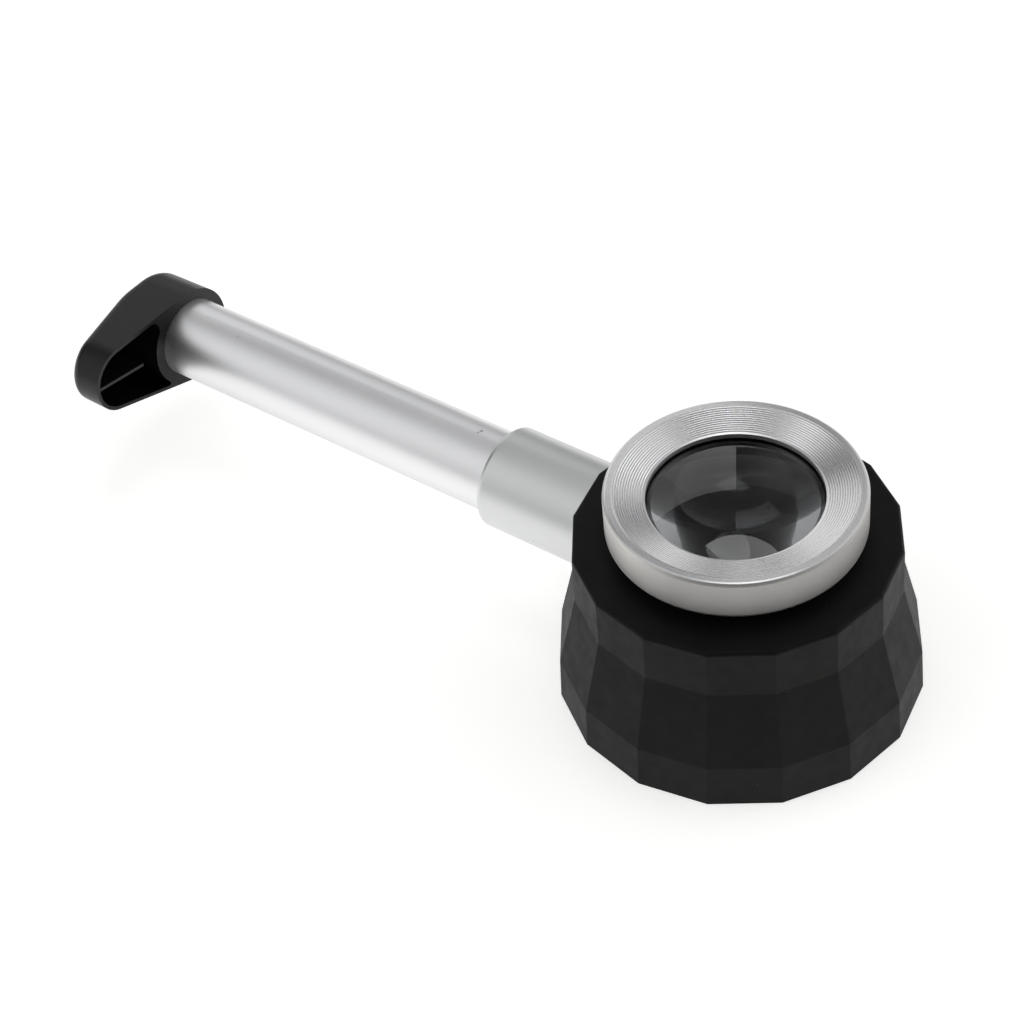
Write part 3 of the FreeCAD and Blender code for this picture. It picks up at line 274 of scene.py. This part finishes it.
def bezel():
    """The focusing ring: a faced, grooved dish with fine concentric tool lines, a plain bright rim and a blasted side,
    with painted shade darkening the side towards one direction.
    """
    m = Mat("ring_metal")
    r = m.radius()
    z = m.axes()[2]
    top = m.remap(z, 50.6 * MM, 50.9 * MM, 0.0, 1.0)
    face = m.math("MULTIPLY", top, m.remap(r, 26.9 * MM, 27.1 * MM, 1.0, 0.0))
    plain = m.math("MULTIPLY", face, m.remap(r, 18.95 * MM, 19.05 * MM, 0.0, 1.0))
    v = m.t.nodes.new("ShaderNodeCombineXYZ")
    m.t.links.new(r, v.inputs[0])
    lines = m.noise(9000, 2, 0.7, v.outputs[0])
    broad = m.noise(2600, 2, 0.5, v.outputs[0])
    fine = m.noise(9000, 2, 0.6)
    cloud = m.remap(m.noise(60, 4, 0.55), 0.3, 0.7, 0.0, 1.0)
    faced = m.mix(m.remap(lines, 0.3, 0.7, 0, 1), (0.82, 0.82, 0.83), (0.93, 0.93, 0.94))
    side = m.mix(cloud, (0.70, 0.692, 0.672), (0.73, 0.722, 0.705))
    nick = m.math("ADD", m.near((19.22, -19.52, 51.01), 0.55, 0.2, 0.5), m.near((20.3, -18.3, 50.5), 0.3, 0.2, 0.4), clamp=True)
    side = m.mix(m.math("MULTIPLY", nick, 0.35), side, (0.35, 0.345, 0.33))
    # painted shade: the side's colour darkens towards one side of the ring, along (0.866, -0.5), where less light falls
    sx, sy, _ = m.axes()
    painted_side_shade = m.remap(m.math("ADD", m.math("MULTIPLY", sx, 0.866), m.math("MULTIPLY", sy, -0.5)), 4 * MM, 19 * MM, 0.0, 1.0, True)
    side = m.mix(painted_side_shade, side, (0.47, 0.462, 0.45))
    base = m.mix(face, side, faced)
    chip = m.math("ADD", m.near((22.49, -14.35, 53.3), 0.5, 0.3, 0.4), m.near((-12.24, 14.46, 51.6), 0.45, 0.3, 0.4), clamp=True)
    base = m.mix(m.math("MULTIPLY", chip, 0.7), base, (0.95, 0.95, 0.95))
    rough = m.mix(face, (0.50, 0.50, 0.50), m.mix(plain, (0.34, 0.34, 0.34), (0.27, 0.27, 0.27)))
    s = m.t.nodes.new("ShaderNodeSeparateColor")
    m.t.links.new(rough, s.inputs[0])
    rough = m.math("ADD", s.outputs[0], m.remap(broad, 0.3, 0.7, -0.02, 0.02))
    nrm = m.bump(m.math("MULTIPLY", lines, face), 0.000004, 0.5)
    nrm = m.bump(m.math("MULTIPLY", fine, m.math("SUBTRACT", 1.0, face)), 0.000012, 0.3, nrm)
    nrm = m.bump(m.math("MULTIPLY", nick, -1.0), 0.00008, 0.5, nrm)
    tan = m.t.nodes.new("ShaderNodeTangent")
    tan.direction_type = "RADIAL"
    tan.axis = "Z"
    m.set(Base_Color=base, Metallic=1.0, Roughness=rough, Normal=nrm, Anisotropic=m.math("MULTIPLY", plain, 0.75), Anisotropic_Rotation=0.25,
          Tangent=tan.outputs[0])
    return m.m


def drawn_tube():
    """The handle's tube: blasted and anodised, with a fine line of painted shade at the collar joint, painted shade on
    its underside, and one small wear mark.
    """
    m = Mat("satin_tube")
    x = m.axes()[0]
    cloud = m.remap(m.noise(35, 4, 0.55), 0.3, 0.7, 0.0, 1.0)
    fine = m.noise(9000, 2, 0.6)
    along = m.noise(1.0, 3, 0.6, m.stretch(40, 2500, 2500))
    base = m.mix(cloud, (0.89, 0.893, 0.908), (0.915, 0.918, 0.93))
    spots = m.specks(240, 0.045, 0.045)
    base = m.mix(m.math("MULTIPLY", spots, 0.4), base, (0.30, 0.30, 0.36))
    # painted shade: the tube's lower half is darkened, most at 19.5 mm height and none above 28 mm, as if less light
    # reaches its underside
    painted_underside_shade = m.remap(m.axes()[2], 19.5 * MM, 28 * MM, 1.0, 0.0, True)
    base = m.mix(m.math("MULTIPLY", painted_underside_shade, 0.55), base, (0.52, 0.517, 0.51))
    # painted shade: a fine dark band at the collar joint (x from -61.42 to -60.6 mm), where shade falls in the gap
    # between tube and collar
    painted_joint_shade = m.band(x, -61.42, -60.6, 0.12)
    base = m.mix(m.math("MULTIPLY", painted_joint_shade, 0.6), base, (0.12, 0.12, 0.13))
    mark = m.math("ADD", m.near((-67.7, 1.02, 36.66), 0.55, 0.25, 0.5), m.near((-68.0, 0.2, 36.6), 0.3, 0.25, 0.4), clamp=True)
    base = m.mix(m.math("MULTIPLY", mark, 0.6), base, (0.10, 0.10, 0.11))
    m.set(Base_Color=base, Metallic=1.0, Roughness=m.math("ADD", m.math("MULTIPLY", cloud, 0.015), m.remap(fine, 0.3, 0.7, 0.37, 0.43)))
    nrm = m.bump(fine, 0.000012, 0.35)
    nrm = m.bump(along, 0.000006, 0.25, nrm)
    nrm = m.bump(m.math("MULTIPLY", mark, -1.0), 0.0001, 0.6, nrm)
    m.set(Normal=nrm)
    return m.m


def plastic(name, colour, rough, spec=0.4, grain=3500, depth=0.000015, strength=0.3):
    m = Mat(name)
    tone = m.remap(m.noise(200, 3), 0.3, 0.7, 0, 1)
    base = m.mix(tone, tuple(c * 0.85 for c in colour), tuple(c * 1.15 for c in colour))
    g = m.noise(grain, 2, 0.6)
    m.set(Base_Color=base, Roughness=m.remap(g, 0.3, 0.7, rough - 0.04, rough + 0.04), Specular_IOR_Level=spec(m) if callable(spec) else spec, Normal=m.bump(g, depth, strength))
    return m.m


def glass(name, tint=(0.985, 0.995, 0.99)):
    m = Mat(name)
    film = m.remap(m.noise(60, 3, 0.6), 0.45, 0.75, 0.0, 1.0)
    base = m.mix(m.math("MULTIPLY", film, 0.3), tint, tuple(c * 0.95 for c in tint))
    m.set(Base_Color=base, Transmission_Weight=1.0, IOR=1.52, Roughness=0.0, Coat_Weight=0.0)
    m.set(Normal=m.bump(m.noise(12, 1, 0.5), 0.00002, 0.05))
    return m.m


def steel(name, colour=(0.55, 0.55, 0.54), rough=0.3):
    m = Mat(name)
    s = m.noise(2500, 3, 0.6)
    m.set(Base_Color=m.mix(m.remap(s, 0.3, 0.7, 0, 1), tuple(c * 0.9 for c in colour), colour), Metallic=1.0, Roughness=m.remap(s, 0.3, 0.7, rough - 0.05, rough + 0.06), Normal=m.bump(s, 0.00001, 0.3))
    return m.m


M = {
    "rubber": rubber(),
    "tube": drawn_tube(),
    "ring": bezel(),
    "collar": satin("satin_collar", (0.74, 0.752, 0.75), 0.42),
    # painted shade: the cap's specular level rises with height, 0.18 at 23 mm to 0.32 at 34 mm, so its lower side reads
    # darker
    "cap": plastic("satin_black", (0.0046, 0.0046, 0.0049), 0.36, lambda m: m.remap(m.axes()[2], 23 * MM, 34 * MM, 0.18, 0.32, True)),
    "inner_black": plastic("matte_black", (0.006, 0.006, 0.006), 0.6, 0.25),
    "anodised_black": turned("black_anodised", (0.035, 0.035, 0.036), 0.38, aniso=0.3),
    "glass": glass("lens_glass", (0.34, 0.35, 0.36)),
    "window": plastic("frosted_window", (0.34, 0.35, 0.36), 0.6, 0.4),
    "steel": steel("plated_steel"),
    "foot": plastic("painted_foot", (0.012, 0.012, 0.012), 0.5, 0.4, 1800, 0.00002, 0.4),
    "board": plastic("board_green", (0.01, 0.09, 0.035), 0.35, 0.5, 900, 0.00001, 0.4),
    "lamp": plastic("lamp_phosphor", (0.80, 0.72, 0.38), 0.4, 0.5, 1500),
    "chip": plastic("chip_body", (0.03, 0.03, 0.03), 0.4, 0.5),
    "seal": plastic("seal_rubber", (0.008, 0.008, 0.008), 0.45, 0.4),
    "contact_plastic": plastic("natural_plastic", (0.62, 0.60, 0.54), 0.45, 0.5),
    "brass": steel("plated_brass", (0.75, 0.58, 0.28), 0.28),
    "cell": plastic("cell_film", (0.03, 0.03, 0.035), 0.22, 0.5, 400),
    "liner": plastic("liner_film", (0.55, 0.55, 0.53), 0.4, 0.5),
    "lead_red": plastic("lead_red_cover", (0.35, 0.012, 0.01), 0.35, 0.5),
    "lead_black": plastic("lead_black_cover", (0.01, 0.01, 0.01), 0.35, 0.5),
    "plug": turned("turned_plug", (0.70, 0.70, 0.70), 0.30, aniso=0.2),
}

CARRY = {
    "head_shell": "rubber", "inner_housing": "inner_black", "foot_ring": "foot", "foot_screws": "steel", "board_screws": "steel",
    "collar_mount_screws": "steel", "light_board": "board", "light_emitters": "lamp", "board_resistors": "chip", "light_window": "window",
    "guide_pin": "steel", "lens_carrier": "anodised_black", "friction_ring": "seal", "eye_lens": "glass", "field_lens": "glass",
    "lens_spacer": "anodised_black", "lens_lock_ring": "anodised_black", "ring_clip": "steel", "focus_ring": "ring", "handle_collar": "collar",
    "collar_grub_screw": "steel", "handle_tube": "tube", "contact_carrier": "contact_plastic", "positive_contact": "brass", "battery_front": "cell",
    "battery_rear": "cell", "battery_liner": "liner", "positive_lead": "lead_red", "negative_lead": "lead_black", "end_cap": "cap",
    "cap_plug": "plug", "cap_seal": "seal", "cap_screw": "steel", "battery_spring": "steel",
}
for node, ob in NODES.items():
    ob.data.materials.clear()
    ob.data.materials.append(M[CARRY[node]])


# A moulded or machined edge is never quite sharp.
for node, width, angle in (("end_cap", 0.22, 35), ("head_shell", 0.35, 14)):
    b = NODES[node].modifiers.new("edges", "BEVEL")
    b.width = width * MM
    b.segments = 2
    b.limit_method = "ANGLE"
    b.angle_limit = math.radians(angle)
    b.use_clamp_overlap = True
    b.harden_normals = False


def give(ob, *keys):
    ob.data.materials.clear()
    for k in keys:
        ob.data.materials.append(M[k])
    return ob


# ------------------------------------------------------------------ floor, light and camera
me = bpy.data.meshes.new("floor")
me.from_pydata([(-4, -4, 0), (4, -4, 0), (4, 4, 0), (-4, 4, 0)], [], [(0, 1, 2, 3)])
floor = bpy.data.objects.new("floor", me)
bpy.context.scene.collection.objects.link(floor)
f = Mat("pale_floor")
f.set(Base_Color=f.mix(f.noise(3, 3), (0.90, 0.90, 0.895), (0.92, 0.92, 0.92)), Roughness=0.9, Specular_IOR_Level=0.1)
# Painted light: the floor glows by emission and lights the object from below; the glow is off under the head (inside
# 35-37 mm of its axis) and fades out between 150 and 215 mm along one direction.
fx, fy, _ = f.axes()
front = f.math("ADD", f.math("MULTIPLY", fx, 0.5513), f.math("MULTIPLY", fy, -0.8343))
sweep = f.remap(front, 150 * MM, 215 * MM, 1.0, 0.0)
f.set(Emission_Color=(1.0, 0.995, 0.985), Emission_Strength=f.math("MULTIPLY", sweep, f.remap(f.radius(), 35 * MM, 37 * MM, 0.0, 0.60)))
me.materials.append(f.m)

# The studio: broad soft patches of light around the object and two softboxes behind it, all as directions in degrees.
# A patch is (azimuth, elevation, strength), a softbox (azimuth, elevation, half width, half height, strength).
PATCHES = [
    (30, 6, 0.294),
    (60, 6, 1.215),
    (90, 6, 0.99),
    (210, 6, 0.55),
    (240, 6, 0.333),
    (15, 30, 0.797),
    (51, 30, 0.648),
    (231, 30, 0.839),
    (339, 30, 0.157),
    (51.4, 55, 0.403),
    (102.9, 55, 0.299),
    (205.7, 55, 0.814),
    (257.1, 55, 0.34),
    (308.6, 55, 0.455),
]
SOFTBOXES = [
    (143, 27, 20, 17, 0.8),
    (112, 79, 48, 9.5, 2.2),
    (120, 30, 24, 11, 0.14),
]
LEVELS = (0, 12, 27, 43, 60, 80)


def patches_at(az, el):
    """The patches' light from one direction, in degrees."""
    a, e = math.radians(az), math.radians(el)
    d = Vector((math.cos(e) * math.cos(a), math.cos(e) * math.sin(a), math.sin(e)))
    out = 0.0
    for pa, pe, s in PATCHES:
        pa, pe = math.radians(pa), math.radians(pe)
        out += s * math.exp(16 * (d.dot(Vector((math.cos(pe) * math.cos(pa), math.cos(pe) * math.sin(pa), math.sin(pe)))) - 1))
    return out


world = bpy.data.worlds.new("studio")
world.use_nodes = True
wt = world.node_tree
bg = wt.nodes["Background"]
unit = wt.nodes.new("ShaderNodeVectorMath")
unit.operation = "NORMALIZE"
wt.links.new(wt.nodes.new("ShaderNodeTexCoord").outputs["Generated"], unit.inputs[0])
part = wt.nodes.new("ShaderNodeSeparateXYZ")
wt.links.new(unit.outputs[0], part.inputs[0])


def wmath(op, a, b=0.0, c=0.0):
    n = wt.nodes.new("ShaderNodeMath")
    n.operation = op
    for s, v in zip(n.inputs, (a, b, c)):
        if isinstance(v, bpy.types.NodeSocket):
            wt.links.new(v, s)
        else:
            s.default_value = v
    return n.outputs[0]


# round the horizon 0..1 from the -X side, and the elevation in radians
around = wmath("MULTIPLY_ADD", wmath("ARCTAN2", part.outputs[1], part.outputs[0]), 0.5 / math.pi, 0.5)
height = wmath("ARCSINE", part.outputs[2])
BRIGHTEST = 2.5
total = None
for k, level in enumerate(LEVELS):
    ramp = wt.nodes.new("ShaderNodeValToRGB")
    wt.links.new(around, ramp.inputs[0])
    stops = ramp.color_ramp.elements
    for i in range(25):
        v = patches_at(i * 15 - 180, level) / BRIGHTEST
        if i == 0:
            s = stops[0]
        elif i == 24:
            s = stops[len(stops) - 1]
        else:
            s = stops.new(i / 24)
        s.position = i / 24
        s.color = (v, v, v, 1.0)
    if total is None:
        total = ramp.outputs[0]
        continue
    f = wt.nodes.new("ShaderNodeMapRange")
    wt.links.new(height, f.inputs[0])
    f.inputs[1].default_value, f.inputs[2].default_value = math.radians(LEVELS[k - 1]), math.radians(level)
    m = wt.nodes.new("ShaderNodeMix")
    m.data_type = "FLOAT"
    wt.links.new(f.outputs[0], m.inputs[0])
    wt.links.new(total, m.inputs[2])
    wt.links.new(ramp.outputs[0], m.inputs[3])
    total = m.outputs[0]
total = wmath("MULTIPLY", total, BRIGHTEST)
for az, el, hw, hh, strength in SOFTBOXES:
    box = wmath("MULTIPLY", wmath("COMPARE", around, az / 360 + 0.5, hw / 360), wmath("COMPARE", height, math.radians(el), math.radians(hh)))
    total = wmath("MULTIPLY_ADD", box, strength, total)
bg.inputs[0].default_value = (1.0, 1.0, 1.0, 1.0)
wt.links.new(total, bg.inputs[1])
bpy.context.scene.world = world

cam_data = bpy.data.cameras.new("camera")
cam_data.sensor_fit = "HORIZONTAL"
cam_data.sensor_width = 36.0
cam_data.lens = 2397.842 / 1024 * 36.0
cam_data.clip_start, cam_data.clip_end = 0.01, 50
cam = bpy.data.objects.new("camera", cam_data)
bpy.context.scene.collection.objects.link(cam)
el, roll, turn = math.radians(44.069), math.radians(-6.770), math.radians(40.874)
Rx = Matrix(((1, 0, 0), (0, -math.sin(el), -math.cos(el)), (0, math.cos(el), -math.sin(el))))
Rr = Matrix(((math.cos(roll), -math.sin(roll), 0), (math.sin(roll), math.cos(roll), 0), (0, 0, 1)))
Rz = Matrix(((math.cos(turn), math.sin(turn), 0), (-math.sin(turn), math.cos(turn), 0), (0, 0, 1)))
R = Rr @ Rx @ Rz
t = Vector((50.173, 33.278, 527.516)) * MM
place = -(R.transposed() @ t)
look = R.transposed() @ Matrix(((1, 0, 0), (0, -1, 0), (0, 0, -1)))
cam.matrix_world = Matrix.Translation(place) @ look.to_4x4()
bpy.context.scene.camera = cam
bpy.context.scene.view_settings.view_transform = "Standard"
